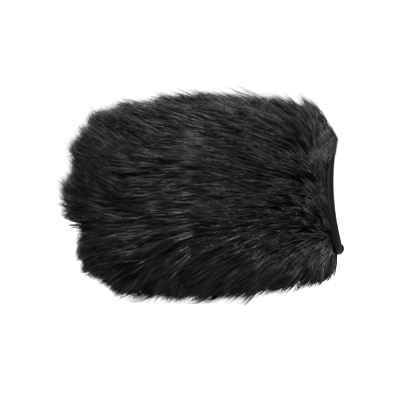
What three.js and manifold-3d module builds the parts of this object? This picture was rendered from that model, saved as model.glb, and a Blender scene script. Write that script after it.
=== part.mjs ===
// A furry windscreen for a handheld recorder or microphone: a long-pile sleeve, closed at one end,
// with foam and lining inside and an elastic hem around its mouth.
// Millimetres. +X runs along the sleeve from the closed end to the mouth, +Y is away from the front
// panel, and +Z is up. The origin is the middle of the footprint, and the sleeve rests on z = 0.

import * as THREE from 'three';
import { mergeVertices } from 'three/addons/utils/BufferGeometryUtils.js';
import Module from 'manifold-3d';

const wasm = await Module();
wasm.setup();

// Driving dimensions of the sleeve, measured from its axis
const halfLength = 75.4;
const pileHalfHeight = 53;
const pileDepthRatio = 0.83;
const skinHalfHeight = 40;
const skinDepthRatio = 0.78;
const restCut = 2;
const squareness = 2.4;

// Where the layers start and stop along the axis
const fullestX = 6;
const endSeamX = -48;
const mouthRoundX = 50;
const mouthReachX = 75;
const foamMouthX = 50;

// How far each outline falls away towards its two ends
const pileEndTaper = 7.5;
const pileMouthTaper = 5;
const skinEndTaper = 6;
const skinMouthTaper = 10.4;

// How sharply each outline bends, as exponents: the tapers, the closed end's dome and the mouth's lip
const pileEndBend = 2.6;
const pileMouthBend = 2;
const skinEndBend = 2;
const skinMouthBend = 2.5;
const roundingBend = 3;
const domePower = 1.5;
const lipPower = 0.5;

// Layer thicknesses and gaps
const foamThickness = 5;
const liningThickness = 0.8;
const seamRoom = 1.6;
const layerGap = 0.4;
const cutGap = 0.3;
const threadRadius = 0.35;
const padEdge = 1;
const liningRim = 4;
const liningFlareLength = 8;

// The elastic hem, whose centre line is an oval pulled in towards the sleeve at its middle
const hemHalfHeight = 28.8;
const hemHalfDepth = 20;
const hemSquareness = 2.5;
const hemRise = 1.6;
const hemTubeRadius = 2.5;
const hemBoreRadius = 1.6;
const elasticRadius = 1.15;
const hemSaddle = 3.5;
const hemLean = 1.5;

// The join of the hem at its lowest point
const tabRadius = 3.2;
const tabEndRadius = 2.8;
const tabBoreRadius = 1.9;
const tabHalfWidth = 4;
const elasticJoinRadius = 1.5;
const barTackSize = [1.2, 5, 0.6];

// The folded side tag, which stands in the end seam of the front panel and leans with the pile
const tagLength = 11;
const tagWidth = 10;
const tagLeaf = 0.5;
const tagFoldGap = 0.4;
const tagHeight = 13;
const tagInset = 1;
const tagLean = 0.6;

// Facets
const sides = 28;
const tubeSides = 10;
const threadSides = 6;
const barrelSides = 16;
const foldSteps = 4;
const slabSteps = 16;
const hemPlaces = 16;
const hemSteps = 18;
const sleeveSteps = 8;
const pocketSteps = 10;
const domeSteps = 7;
const lipSteps = 6;

const axisHeight = pileHalfHeight - restCut;
const outside = 2 * halfLength;
const hemMiddleX = halfLength - tabRadius - hemSaddle - hemLean;
const padStartX = endSeamX + seamRoom;
const foamStartX = padStartX + foamThickness + layerGap;
const liningEndX = foamStartX + layerGap;
const liningStartX = liningEndX + liningThickness + layerGap;

// The colour and finish of each material

const finishes = {
  pile: { color: 0x232325, roughness: 0.75, metalness: 0 },
  binding: { color: 0x161618, roughness: 0.6, metalness: 0 },
  elastic: { color: 0x101011, roughness: 0.8, metalness: 0 },
  thread: { color: 0x18181a, roughness: 0.5, metalness: 0 },
  foam: { color: 0x3a3a3d, roughness: 0.95, metalness: 0 },
  lining: { color: 0x1b1b1d, roughness: 0.7, metalness: 0 },
  tag: { color: 0xb3301f, roughness: 0.7, metalness: 0 },
};

// Turning three.js geometry into solids and back

function signedVolume(position, index) {
  const [a, b, c] = [new THREE.Vector3(), new THREE.Vector3(), new THREE.Vector3()];
  let volume = 0;
  for (let i = 0; i < index.length; i += 3) {
    a.fromBufferAttribute(position, index[i]);
    b.fromBufferAttribute(position, index[i + 1]);
    c.fromBufferAttribute(position, index[i + 2]);
    volume += a.dot(b.cross(c)) / 6;
  }
  return volume;
}

// Merges shared vertices, drops the empty triangles at a pole, and turns the faces outwards.
function closedMesh(geometry) {
  const bare = geometry.clone();
  bare.deleteAttribute('normal');
  bare.deleteAttribute('uv');
  const merged = mergeVertices(bare, 1e-4);
  const corners = merged.index.array;
  const kept = [];
  for (let i = 0; i < corners.length; i += 3) {
    const [a, b, c] = corners.slice(i, i + 3);
    if (a !== b && b !== c && c !== a) {
      kept.push(a, b, c);
    }
  }
  if (signedVolume(merged.attributes.position, kept) < 0) {
    kept.reverse();
  }
  merged.setIndex(kept);
  return merged;
}

function toSolid(geometry) {
  const closed = closedMesh(geometry);
  return new wasm.Manifold(new wasm.Mesh({
    numProp: 3,
    vertProperties: new Float32Array(closed.attributes.position.array),
    triVerts: new Uint32Array(closed.index.array),
  }));
}

function toGeometry(solid) {
  const mesh = solid.getMesh();
  const geometry = new THREE.BufferGeometry();
  geometry.setAttribute('position', new THREE.BufferAttribute(mesh.vertProperties, 3));
  geometry.setIndex(new THREE.BufferAttribute(mesh.triVerts, 1));
  geometry.computeVertexNormals();
  return geometry;
}

function boxSolid(low, high) {
  const box = new THREE.BoxGeometry(high[0] - low[0], high[1] - low[1], high[2] - low[2]);
  box.translate((low[0] + high[0]) / 2, (low[1] + high[1]) / 2, (low[2] + high[2]) / 2);
  return toSolid(box);
}

// Outlines along the axis

function fade(x, from, to, power) {
  return Math.pow(Math.max(0, (x - from) / (to - from)), power);
}

// The pile's height narrows towards both ends, then rounds over into a dome at the closed end and a
// lip at the mouth.
function pileOutline(x) {
  const towardsEnd = pileEndTaper * fade(Math.max(x, endSeamX), fullestX, endSeamX, pileEndBend);
  const towardsMouth = pileMouthTaper * fade(x, fullestX, mouthRoundX, pileMouthBend);
  const endShare = Math.min(1, fade(x, endSeamX, -halfLength, roundingBend));
  const lipShare = Math.min(1, fade(x, mouthRoundX, mouthReachX, roundingBend));
  const dome = Math.pow(1 - endShare, domePower);
  const lip = Math.pow(1 - lipShare, lipPower);
  return (pileHalfHeight - towardsEnd - towardsMouth) * dome * lip;
}

// The fur's backing cloth, which every inner layer follows at its own distance.
function skinOutline(x) {
  const towardsEnd = skinEndTaper * fade(x, fullestX, endSeamX, skinEndBend);
  const towardsMouth = skinMouthTaper * fade(x, fullestX, hemMiddleX, skinMouthBend);
  return skinHalfHeight - towardsEnd - towardsMouth;
}

// The hem's centre line seen from the side: its middle is pulled in, and its lowest point reaches
// furthest out.
function hemX(z) {
  const height = z / hemHalfHeight;
  return hemMiddleX + hemSaddle * height * height - hemLean * height;
}

function steps(from, to, count) {
  return Array.from({ length: count + 1 }, (_, i) => from + ((to - from) * i) / count);
}

// A solid turned about the X axis from [x, radius] pairs, its round section squared off and made
// shallower.
function turnedForm(profile, depthRatio) {
  const points = profile.map(([x, radius]) => new THREE.Vector2(radius, x));
  const form = closedMesh(new THREE.LatheGeometry(points, sides));
  const position = form.attributes.position;
  for (let i = 0; i < position.count; i += 1) {
    const [up, along, across] = [position.getX(i), position.getY(i), position.getZ(i)];
    const radius = Math.hypot(up, across) || 1;
    const upPart = Math.pow(Math.abs(up / radius), squareness);
    const acrossPart = Math.pow(Math.abs(across / radius), squareness);
    const corner = upPart + acrossPart;
    const spread = corner > 0 ? Math.pow(corner, -1 / squareness) : 1;
    position.setXYZ(i, along, across * spread * depthRatio, up * spread);
  }
  return closedMesh(form);
}

// A closed profile between an outer and an inner outline, for a sleeve that is open at both ends.
function sleeveProfile(places, outer, inner) {
  const out = places.map((x) => [x, outer(x)]);
  const back = places.map((x) => [x, inner(x)]).reverse();
  return [...out, ...back, out[0]];
}

// The space in front of the mouth: a slab that runs right across the sleeve, so that the hem can
// slide past it. Its near side is the hem's own curve, as a parabola through the hem's middle.
function mouthCutter(clearance) {
  const reach = 2 * hemHalfHeight;
  const bendX = hemMiddleX - 4 * hemSaddle;
  const outline = new THREE.Shape();
  outline.moveTo(hemX(-reach) - clearance, -reach);
  outline.quadraticCurveTo(bendX - clearance, 0, hemX(reach) - clearance, reach);
  outline.lineTo(outside, reach);
  outline.lineTo(outside, -reach);
  const depth = 4 * pileHalfHeight;
  const options = { depth, steps: 1, curveSegments: slabSteps, bevelEnabled: false };
  const slab = new THREE.ExtrudeGeometry(outline, options);
  slab.translate(0, 0, -depth / 2);
  slab.rotateX(Math.PI / 2);
  slab.translate(0, 0, hemRise);
  return toSolid(slab);
}

// The three fur panels: one solid for backing cloth and pile together

function furForm() {
  const places = [
    ...steps(-halfLength, endSeamX, domeSteps),
    ...steps(endSeamX, mouthRoundX, sleeveSteps).slice(1),
    ...steps(mouthRoundX, mouthReachX, lipSteps).slice(1),
  ];
  const outer = turnedForm(places.map((x) => [x, pileOutline(x)]), pileDepthRatio);
  const pocketPlaces = [...steps(endSeamX, hemMiddleX, pocketSteps), outside];
  const pocketProfile = pocketPlaces.map((x) => [x, skinOutline(Math.min(x, hemMiddleX))]);
  const pocket = turnedForm([[endSeamX, 0], ...pocketProfile, [outside, 0]], skinDepthRatio);
  const aboveRest = boxSolid([-outside, -outside, -axisHeight], [outside, outside, outside]);
  return toSolid(outer)
    .subtract(toSolid(pocket))
    .subtract(mouthCutter(hemTubeRadius + 4 * threadRadius))
    .subtract(toSolid(tabClearance()))
    .subtract(toSolid(tagClearance()))
    .intersect(aboveRest);
}

function furPanel(form, side) {
  const near = side * cutGap / 2;
  const far = side * outside;
  const low = [endSeamX + cutGap, Math.min(near, far), -outside];
  const high = [outside, Math.max(near, far), outside];
  return toGeometry(form.intersect(boxSolid(low, high)));
}

function furEndPanel(form) {
  const beyondSeam = boxSolid([-outside, -outside, -outside], [endSeamX, outside, outside]);
  return toGeometry(form.intersect(beyondSeam));
}

// The layers inside the fur

function foamSleeve() {
  const outer = (x) => skinOutline(x) - seamRoom;
  const inner = (x) => outer(x) - foamThickness;
  const places = steps(foamStartX, foamMouthX, sleeveSteps);
  return turnedForm(sleeveProfile(places, outer, inner), skinDepthRatio);
}

// A disc with a broken edge on its outer side, and a rim that slopes away from the flat on its inner side.
function disc(startX, thickness, radius, edge, rim) {
  const endX = startX + thickness;
  const profile = [[startX, 0], [startX, radius - edge], [startX + edge, radius]];
  return turnedForm([...profile, [endX - edge, radius], [endX, radius - rim], [endX, 0]], skinDepthRatio);
}

function foamEndPad() {
  return disc(padStartX, foamThickness, skinOutline(padStartX) - seamRoom, padEdge, padEdge);
}

function liningOuter(x) {
  return skinOutline(x) - seamRoom - foamThickness - layerGap;
}

// The lining runs on past the foam and widens a little, up to the hem that it is sewn to.
function liningSleeve() {
  const outer = (x) => Math.max(liningOuter(x), hemHalfHeight - hemTubeRadius / 2);
  const inner = (x) => outer(x) - liningThickness;
  const sewnX = foamMouthX + liningFlareLength;
  const places = [...steps(liningStartX, foamMouthX, sleeveSteps), sewnX, halfLength];
  const sleeve = turnedForm(sleeveProfile(places, outer, inner), skinDepthRatio);
  return toGeometry(toSolid(sleeve)
    .subtract(mouthCutter(hemTubeRadius + 4 * threadRadius))
    .subtract(toSolid(tabClearance())));
}

function liningEndDisc() {
  return disc(liningEndX, liningThickness, liningOuter(liningEndX), liningThickness / 4, liningRim);
}

// Seam threads: a straight seam follows the backing cloth, and a ring seam goes around it

function tube(path, radius, boreRadius, stepCount) {
  const section = new THREE.Shape();
  section.absarc(0, 0, radius, 0, 2 * Math.PI);
  if (boreRadius > 0) {
    const bore = new THREE.Path();
    bore.absarc(0, 0, boreRadius, 0, 2 * Math.PI);
    section.holes.push(bore);
  }
  const options = { steps: stepCount, curveSegments: tubeSides / 2, bevelEnabled: false, extrudePath: path };
  return closedMesh(new THREE.ExtrudeGeometry(section, options));
}

function longSeamThread(side) {
  const places = steps(foamStartX, foamMouthX, sleeveSteps);
  const points = places.map((x) => new THREE.Vector3(x, 0, side * (skinOutline(x) - seamRoom / 2)));
  return tube(new THREE.CatmullRomCurve3(points), threadRadius, 0, sleeveSteps);
}

function ringThread(x, radius) {
  const corners = steps(0, 2 * Math.PI, threadSides).map((angle) => [
    x + threadRadius * Math.cos(angle),
    radius + threadRadius * Math.sin(angle),
  ]);
  corners[corners.length - 1] = corners[0];
  return turnedForm(corners, skinDepthRatio);
}

function endSeamThread() {
  return ringThread(endSeamX + seamRoom / 2, skinOutline(endSeamX) - seamRoom);
}

function liningEndThread() {
  const inset = liningThickness + 2 * threadRadius;
  return ringThread(liningStartX + threadRadius, liningOuter(liningStartX) - inset);
}

// The hem: two lips that meet at the top and at the join

function hemPoint(angle, side, shiftX) {
  const [up, across] = [Math.cos(angle), Math.sin(angle)];
  const power = 2 / hemSquareness;
  const z = hemHalfHeight * Math.sign(up) * Math.pow(Math.abs(up), power);
  const y = side * hemHalfDepth * Math.pow(across, power);
  return new THREE.Vector3(hemX(z) + shiftX, y, z);
}

// Runs from near the top of the hem, by way of one side, to the join at the bottom.
function hemPath(side, shiftX) {
  const angleAt = (across) => Math.asin(Math.pow(across / hemHalfDepth, hemSquareness / 2));
  const stop = Math.PI - angleAt(tabHalfWidth + 2 * layerGap);
  const angles = steps(angleAt(cutGap), stop, hemPlaces);
  return new THREE.CatmullRomCurve3(angles.map((angle) => hemPoint(angle, side, shiftX)));
}

function hemBinding(side) {
  return tube(hemPath(side, 0), hemTubeRadius, hemBoreRadius, hemSteps);
}

function hemElastic(side) {
  return tube(hemPath(side, 0), elasticRadius, 0, hemSteps);
}

function hemThread(side) {
  return tube(hemPath(side, -hemTubeRadius - 2 * threadRadius), threadRadius, 0, hemSteps);
}

// The join, around the hem's lowest point: a barrel of folded binding, turned about the Y axis

function barrel(halfWidth, radius, endRadius, boreRadius) {
  const at = (r, t) => new THREE.Vector2(r, t * halfWidth);
  const outer = [at(endRadius, -1), at(radius, -0.5), at(radius, 0.5), at(endRadius, 1)];
  const solidEnds = [at(0, -1), ...outer, at(0, 1)];
  const boredEnds = [...outer, at(boreRadius, 1), at(boreRadius, -1), at(endRadius, -1)];
  return new THREE.LatheGeometry(boreRadius > 0 ? boredEnds : solidEnds, barrelSides);
}

function joinPlace() {
  return new THREE.Vector3(hemX(-hemHalfHeight), 0, -hemHalfHeight);
}

function joinTab() {
  return closedMesh(barrel(tabHalfWidth, tabRadius, tabEndRadius, tabBoreRadius));
}

function elasticJoin() {
  return closedMesh(barrel(tabHalfWidth, elasticJoinRadius, elasticRadius, 0));
}

function tabClearance() {
  const radius = tabRadius + layerGap;
  const clearance = barrel(tabHalfWidth + 2 * layerGap, radius, radius, 0);
  const place = joinPlace();
  clearance.translate(place.x, place.y, place.z + hemRise);
  return clearance;
}

function barTack() {
  return closedMesh(new THREE.BoxGeometry(...barTackSize));
}

// The side tag: a strip folded back on itself, with its fold at the outer end

function tagFrame() {
  const seamY = -skinOutline(endSeamX) * skinDepthRatio;
  const frame = new THREE.Matrix4().makeRotationZ(Math.PI + tagLean);
  return frame.setPosition(endSeamX - tagInset, seamY, tagHeight);
}

function sideTag() {
  const half = tagLeaf + tagFoldGap / 2;
  const strip = new THREE.Shape();
  strip.moveTo(0, -half);
  strip.lineTo(tagLength - half, -half);
  strip.absarc(tagLength - half, 0, half, -Math.PI / 2, Math.PI / 2, false);
  strip.lineTo(0, half);
  strip.lineTo(0, tagFoldGap / 2);
  strip.lineTo(tagLength - half, tagFoldGap / 2);
  strip.lineTo(tagLength - half, -tagFoldGap / 2);
  strip.lineTo(0, -tagFoldGap / 2);
  const options = { depth: tagWidth, curveSegments: foldSteps, bevelEnabled: false };
  const folded = new THREE.ExtrudeGeometry(strip, options);
  folded.translate(0, 0, -tagWidth / 2);
  return closedMesh(folded);
}

function tagClearance() {
  const room = 2 * layerGap;
  const thickness = 2 * tagLeaf + tagFoldGap + room;
  const slot = new THREE.BoxGeometry(tagLength + 2 * room, thickness, tagWidth + room);
  slot.translate(tagLength / 2, 0, 0);
  slot.applyMatrix4(tagFrame());
  return slot;
}

// The assembly

function piece(name, geometry, finish) {
  const mesh = new THREE.Mesh(geometry, new THREE.MeshStandardMaterial(finishes[finish]));
  mesh.name = name;
  return mesh;
}

function buildSleeve() {
  const sleeve = new THREE.Group();
  const fur = furForm();
  sleeve.add(piece('fur_front_panel', furPanel(fur, -1), 'pile'));
  sleeve.add(piece('fur_back_panel', furPanel(fur, 1), 'pile'));
  sleeve.add(piece('fur_end_panel', furEndPanel(fur), 'pile'));
  sleeve.add(piece('top_seam_thread', longSeamThread(1), 'thread'));
  sleeve.add(piece('bottom_seam_thread', longSeamThread(-1), 'thread'));
  sleeve.add(piece('end_seam_thread', endSeamThread(), 'thread'));
  sleeve.add(piece('foam_sleeve', foamSleeve(), 'foam'));
  sleeve.add(piece('foam_end_pad', foamEndPad(), 'foam'));
  sleeve.add(piece('lining_sleeve', liningSleeve(), 'lining'));
  sleeve.add(piece('lining_end_disc', liningEndDisc(), 'lining'));
  sleeve.add(piece('lining_end_thread', liningEndThread(), 'thread'));
  const tag = piece('side_tag', sideTag(), 'tag');
  tag.applyMatrix4(tagFrame());
  sleeve.add(tag);
  return sleeve;
}

function buildHem() {
  const hem = new THREE.Group();
  hem.position.z = hemRise;
  for (const [name, side] of [['front', -1], ['back', 1]]) {
    hem.add(piece(`hem_binding_${name}`, hemBinding(side), 'binding'));
    hem.add(piece(`hem_elastic_${name}`, hemElastic(side), 'elastic'));
    hem.add(piece(`hem_thread_${name}`, hemThread(side), 'thread'));
  }
  const join = new THREE.Group();
  join.position.copy(joinPlace());
  join.add(piece('hem_join_tab', joinTab(), 'binding'));
  join.add(piece('elastic_join', elasticJoin(), 'elastic'));
  const tack = piece('join_bar_tack', barTack(), 'thread');
  tack.position.z = tabRadius + cutGap + barTackSize[2] / 2;
  join.add(tack);
  hem.add(join);
  return hem;
}

const windscreen = new THREE.Group();
windscreen.position.z = axisHeight;
windscreen.add(buildSleeve(), buildHem());

export default windscreen;
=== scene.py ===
"""A furry windscreen: black long-pile sleeve with an elastic hem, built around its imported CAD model."""

import math

import bpy
import numpy as np
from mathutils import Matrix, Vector
from mathutils.bvhtree import BVHTree
from mathutils.kdtree import KDTree


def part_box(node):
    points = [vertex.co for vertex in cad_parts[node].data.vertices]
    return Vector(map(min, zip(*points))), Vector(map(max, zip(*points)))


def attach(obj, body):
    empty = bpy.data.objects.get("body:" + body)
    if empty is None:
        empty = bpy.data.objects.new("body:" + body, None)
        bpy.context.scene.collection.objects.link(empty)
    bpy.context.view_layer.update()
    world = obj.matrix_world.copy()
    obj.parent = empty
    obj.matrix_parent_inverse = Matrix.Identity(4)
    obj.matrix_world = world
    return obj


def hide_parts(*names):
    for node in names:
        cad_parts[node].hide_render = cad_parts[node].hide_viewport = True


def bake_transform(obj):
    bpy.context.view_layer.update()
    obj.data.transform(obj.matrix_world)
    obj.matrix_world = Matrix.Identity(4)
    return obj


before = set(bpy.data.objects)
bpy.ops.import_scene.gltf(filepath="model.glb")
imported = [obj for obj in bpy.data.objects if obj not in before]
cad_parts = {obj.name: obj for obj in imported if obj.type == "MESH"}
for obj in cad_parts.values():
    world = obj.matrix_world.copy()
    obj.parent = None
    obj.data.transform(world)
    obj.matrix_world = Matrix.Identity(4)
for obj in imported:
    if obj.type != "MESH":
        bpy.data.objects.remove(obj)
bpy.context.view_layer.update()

MM = 0.001
rng = np.random.default_rng(7)


# ---- Small tools -------------------------------------------------------------------------------


def unit(v):
    return v / np.maximum(np.linalg.norm(v, axis=-1, keepdims=True), 1e-9)


def ease(t):
    """A smooth step as t goes from 0 to 1."""
    t = np.clip(t, 0, 1)
    return t * t * (3 - 2 * t)


def ramp(value, start, end):
    """A smooth step from 0 at start to 1 at end."""
    return ease((value - start) / (end - start))


def smooth(values, width):
    """A running average, with the ends held."""
    kernel = np.hanning(2 * width + 3)[1:-1]
    padded = np.pad(values, width, mode="edge")
    return np.convolve(padded, kernel / kernel.sum(), mode="valid")


def distances(path):
    """The distance along a path at each of its points."""
    return np.concatenate([[0], np.cumsum(np.linalg.norm(np.diff(path, axis=0), axis=1))])


def even_angles(count):
    """That many angles, evenly spaced round a full turn."""
    return np.arange(count) * 2 * np.pi / count


def bump_at(angle, centre, width):
    """A smooth bump around one angle of a turn."""
    off = (angle - centre + np.pi) % (2 * np.pi) - np.pi
    return np.exp(-((off / width) ** 2))


def squarish(wave, squareness):
    """One coordinate of a squarish oval, from the cosine or the sine of the turn."""
    return np.sign(wave) * np.abs(wave) ** (2 / squareness)


# ---- The sleeve's shape, measured from the CAD nodes -------------------------------------------


def cad_tree(*names):
    """A ray-casting tree of some CAD nodes together."""
    points, faces = [], []
    for name in names:
        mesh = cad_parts[name].data
        first = len(points)
        points += [v.co.copy() for v in mesh.vertices]
        faces += [[first + i for i in p.vertices] for p in mesh.polygons]
    return BVHTree.FromPolygons(points, faces)


def cad_points(name):
    return np.array([v.co[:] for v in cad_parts[name].data.vertices])


foam_low, foam_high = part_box("foam_sleeve")
end_low, end_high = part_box("fur_end_panel")
front_low, front_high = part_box("fur_front_panel")
front_lip_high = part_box("hem_binding_front")[1]
back_lip_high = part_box("hem_binding_back")[1]
tab_low, tab_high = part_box("hem_join_tab")
elastic_points = cad_points("hem_elastic_front")

SQUARENESS = 2.4
AXIS_Z = (foam_low.z + foam_high.z) / 2
SKIN_DEPTH = (foam_high.y - foam_low.y) / (foam_high.z - foam_low.z)
PILE_DEPTH = -front_low.y / (front_high.z - AXIS_Z)
SEAM_X = end_high.x
END_X = end_low.x
THREAD = 0.35 * MM
HEM_RADIUS = 2.5 * MM
HEM_BORE = 1.6 * MM
CORD_RADIUS = 1.15 * MM
HEM_DEPTH = back_lip_high.y - HEM_RADIUS
TAB_Z = (tab_low.z + tab_high.z) / 2
TAB_X = (tab_low.x + tab_high.x) / 2
TAB_HALF_HEIGHT = (tab_high.z - tab_low.z) / 2
HEM_HEIGHT = (front_lip_high.z - HEM_RADIUS - TAB_Z) / 2
HEM_Z = TAB_Z + HEM_HEIGHT
hem_curve = np.polyfit(elastic_points[:, 2], elastic_points[:, 0], 2)
HEM_TOP_X = np.polyval(hem_curve, HEM_Z + HEM_HEIGHT)
HEM_MIDDLE_X = np.polyval(hem_curve, HEM_Z)

# Where the rays that measure the skin begin and end, and how finely its two lines are stepped.
SEAM_GAP = 1.5 * MM
RIM_GAP = 6 * MM
SKIN_RAYS = 60
SKIN_STEPS = 400
CORNER_ROUNDING = 9 * MM
SECTION_STEPS = 1440


def measure_skin():
    """[x, half height] along the inside of the fur, from the middle of the closed end to the mouth."""
    tree = cad_tree("fur_front_panel", "fur_end_panel")
    places = np.linspace(SEAM_X + SEAM_GAP, HEM_MIDDLE_X - RIM_GAP, SKIN_RAYS)
    heights = []
    for x in places:
        hit = tree.ray_cast(Vector((x, -MM, AXIS_Z)), Vector((0, 0, 1)))[0]
        heights.append(hit.z - AXIS_Z)
    slope = (heights[-1] - heights[-6]) / (places[-1] - places[-6])
    rim = heights[-1] + slope * (HEM_MIDDLE_X - places[-1])
    share = np.linspace(0, 1, 18, endpoint=False)
    x = np.concatenate([SEAM_X + 0 * share, places, [HEM_MIDDLE_X]])
    r = np.concatenate([heights[0] * share, heights, [rim]])
    return x, r


def resample(x, r, count, rounding):
    """The same line in equal steps, with its corners rounded over."""
    s = distances(np.stack([x, r], -1))
    even = np.linspace(0, s[-1], count)
    x, r = np.interp(even, s, x), np.interp(even, s, r)
    width = int(rounding / s[-1] * count)
    return even, smooth(x, width), smooth(r, width) * (even > 0)


skin_s, skin_x, skin_r = resample(*measure_skin(), SKIN_STEPS, CORNER_ROUNDING)
SKIN_END = skin_s[-1]

# The section, and the shares of the way round it at which the two long seams lie.
section_turn = np.linspace(0, 2 * np.pi, SECTION_STEPS + 1)
section_y = squarish(np.cos(section_turn), SQUARENESS)
section_z = squarish(np.sin(section_turn), SQUARENESS)
section_arc = distances(np.stack([section_y * SKIN_DEPTH, section_z], -1))
section_arc /= section_arc[-1]
TOP, BOTTOM = 0.25, 0.75

# How far from the mouth the cloth begins to draw in to the hem, how much more the layers inside it
# draw in, and how far behind the hem's middle they end.
PULL_LENGTH = 34 * MM
HEM_TUCK = 0.12
HEM_SEAM = 1.9 * MM


def skin_point(s, around, inset=0.0):
    """Points on the backing cloth, from a distance along it and a share of the way round."""
    x = np.interp(s, skin_s, skin_x)
    r = np.maximum(np.interp(s, skin_s, skin_r) - inset, 0)
    cy = np.interp(around % 1, section_arc, section_y)
    cz = np.interp(around % 1, section_arc, section_z)
    pull = ramp(x, skin_x[-1] - PULL_LENGTH, skin_x[-1])
    grown = r / (skin_r[-1] - inset) * (1 - HEM_TUCK * inset / HEM_HEIGHT)
    z = (1 - pull) * (AXIS_Z + r * cz) + pull * (HEM_Z + HEM_HEIGHT * grown * cz)
    y = (1 - pull) * r * cy * SKIN_DEPTH + pull * HEM_DEPTH * grown * cy
    x = x + pull * (np.polyval(hem_curve, z) - HEM_SEAM - skin_x[-1])
    return np.stack([x, y, z], -1)


def skin(s, around):
    """Points and outward normals on the backing cloth."""
    step_along, step_around = 0.4 * MM, 0.001
    inner_s = np.clip(s, step_along, SKIN_END - step_along)
    along = skin_point(inner_s + step_along, around) - skin_point(inner_s - step_along, around)
    round_it = skin_point(inner_s, around + step_around) - skin_point(inner_s, around - step_around)
    return skin_point(s, around), unit(np.cross(round_it, along))


def s_at(x):
    """The distance along the backing cloth at a place on the axis."""
    rising = np.maximum.accumulate(skin_x + 1e-9 * np.arange(len(skin_x)))
    return np.interp(x, rising, skin_s)


def skin_half(x):
    """The backing cloth's half height at a place on the axis."""
    return np.interp(s_at(x), skin_s, skin_r)


# ---- Solids ------------------------------------------------------------------------------------


def add_object(name, mesh):
    obj = bpy.data.objects.new(name, mesh)
    bpy.context.scene.collection.objects.link(obj)
    return obj


def outward(mesh):
    """Turns the faces of a closed solid outwards."""
    volume = 0
    for face in mesh.polygons:
        first, *others = [mesh.vertices[i].co for i in face.vertices]
        for second, third in zip(others, others[1:]):
            volume += first.dot(second.cross(third))
    if volume < 0:
        mesh.flip_normals()


def solid(name, verts, faces):
    """A smooth-shaded object from the vertices and faces of one or more closed solids."""
    mesh = bpy.data.meshes.new(name)
    mesh.from_pydata(np.asarray(verts).tolist(), [], faces)
    mesh.polygons.foreach_set("use_smooth", np.ones(len(faces), bool))
    mesh.update()
    outward(mesh)
    return add_object(name, mesh)


def sheet(name, top, bottom):
    """A closed solid between two grids of points of the same size."""
    n, m = top.shape[:2]
    verts = np.concatenate([top.reshape(-1, 3), bottom.reshape(-1, 3)])
    under = n * m
    faces = []
    for i in range(n - 1):
        for j in range(m - 1):
            a, b, c, d = i * m + j, i * m + j + 1, (i + 1) * m + j + 1, (i + 1) * m + j
            faces.append([a, b, c, d])
            faces.append([under + d, under + c, under + b, under + a])
    rim = [i * m for i in range(n)] + [(n - 1) * m + j for j in range(1, m)]
    rim += [i * m + m - 1 for i in range(n - 2, -1, -1)] + list(range(m - 2, 0, -1))
    for a, b in zip(rim, rim[1:] + rim[:1]):
        faces.append([b, under + b, under + a, a])
    return solid(name, verts, faces)


def rings_parts(rings, capped):
    """Vertices and faces through a row of rings, with the ends capped, or joined end to end."""
    n, m = rings.shape[:2]
    verts = rings.reshape(-1, 3)
    faces = []
    for i in range(n - 1 if capped else n):
        for j in range(m):
            k = (j + 1) % m
            faces.append([i * m + j, i * m + k, ((i + 1) % n) * m + k, ((i + 1) % n) * m + j])
    if capped:
        middle = len(verts)
        verts = np.concatenate([verts, [rings[0].mean(0)], [rings[-1].mean(0)]])
        for j in range(m):
            k = (j + 1) % m
            faces.append([middle, k, j])
            faces.append([middle + 1, (n - 1) * m + j, (n - 1) * m + k])
    return verts, faces


def many_solids(name, parts):
    """One object of several closed solids that are alike."""
    verts, faces, first = [], [], 0
    for part_verts, part_faces in parts:
        verts.append(part_verts)
        faces += [[first + i for i in face] for face in part_faces]
        first += len(part_verts)
    return solid(name, np.concatenate(verts), faces)


def path_frames(path, closed=False):
    """Two directions square to each place on a path that turns about the X axis."""
    if closed:
        along = unit(np.roll(path, -1, 0) - np.roll(path, 1, 0))
    else:
        along = unit(np.gradient(path, axis=0))
    side = unit(np.cross(along, np.array([1.0, 0, 0])))
    return side, unit(np.cross(along, side))


def tube_rings(path, frames, radius, sides):
    side, other = frames
    angle = even_angles(sides)[None, :, None]
    radius = np.broadcast_to(radius, (len(path), sides))
    turned = np.cos(angle) * side[:, None] + np.sin(angle) * other[:, None]
    return path[:, None] + turned * radius[..., None]


def cord(name, path, frames, radius, sides):
    """A solid cord along a path, with closed ends."""
    return solid(name, *rings_parts(tube_rings(path, frames, radius, sides), True))


def hollow_tube(name, path, frames, radius, bore, sides):
    """A closed tube with a bore through it."""
    outer = tube_rings(path, frames, radius, sides)
    inner = tube_rings(path, frames, bore, sides)
    return solid(name, *rings_parts(np.concatenate([outer, inner[::-1]]), False))


def stitches(name, path, radius, length, gap):
    """A row of separate stitches that follow a path, each a small closed bead of thread."""
    s = distances(path)
    share = np.linspace(0, 1, 7)
    body = radius * np.sqrt(np.clip(1 - (2 * share - 1) ** 6, 0.06, 1))
    parts = []
    for start in np.arange(gap / 2, s[-1] - length, length + gap):
        at = start + share * length
        line = np.stack([np.interp(at, s, path[:, k]) for k in range(3)], -1)
        parts.append(rings_parts(tube_rings(line, path_frames(line), body[:, None], 6), True))
    return many_solids(name, parts)


# ---- Materials ---------------------------------------------------------------------------------

# How the bands of a woven or sewn pattern run, and how much they waver.
BANDS = {"rib": ("Z", 1.5), "diagonal": ("DIAGONAL", 0.6)}
MOTTLE_SIZE = 12
PILE_SHINE = (0.03, 0.45)


def new_material(name):
    made = bpy.data.materials.new(name)
    made.use_nodes = True
    nodes = made.node_tree.nodes
    return made, nodes, made.node_tree.links, nodes["Principled BSDF"]


def fine_pattern(nodes, pattern, scale):
    """The texture of a material's fine pattern, and the output that carries its height."""
    if pattern == "cell":
        fine = nodes.new("ShaderNodeTexVoronoi")
        height = fine.outputs["Distance"]
    else:
        fine = nodes.new("ShaderNodeTexWave")
        fine.bands_direction, fine.inputs["Distortion"].default_value = BANDS[pattern]
        height = fine.outputs["Fac"]
    fine.inputs["Scale"].default_value = scale
    return fine, height


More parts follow.
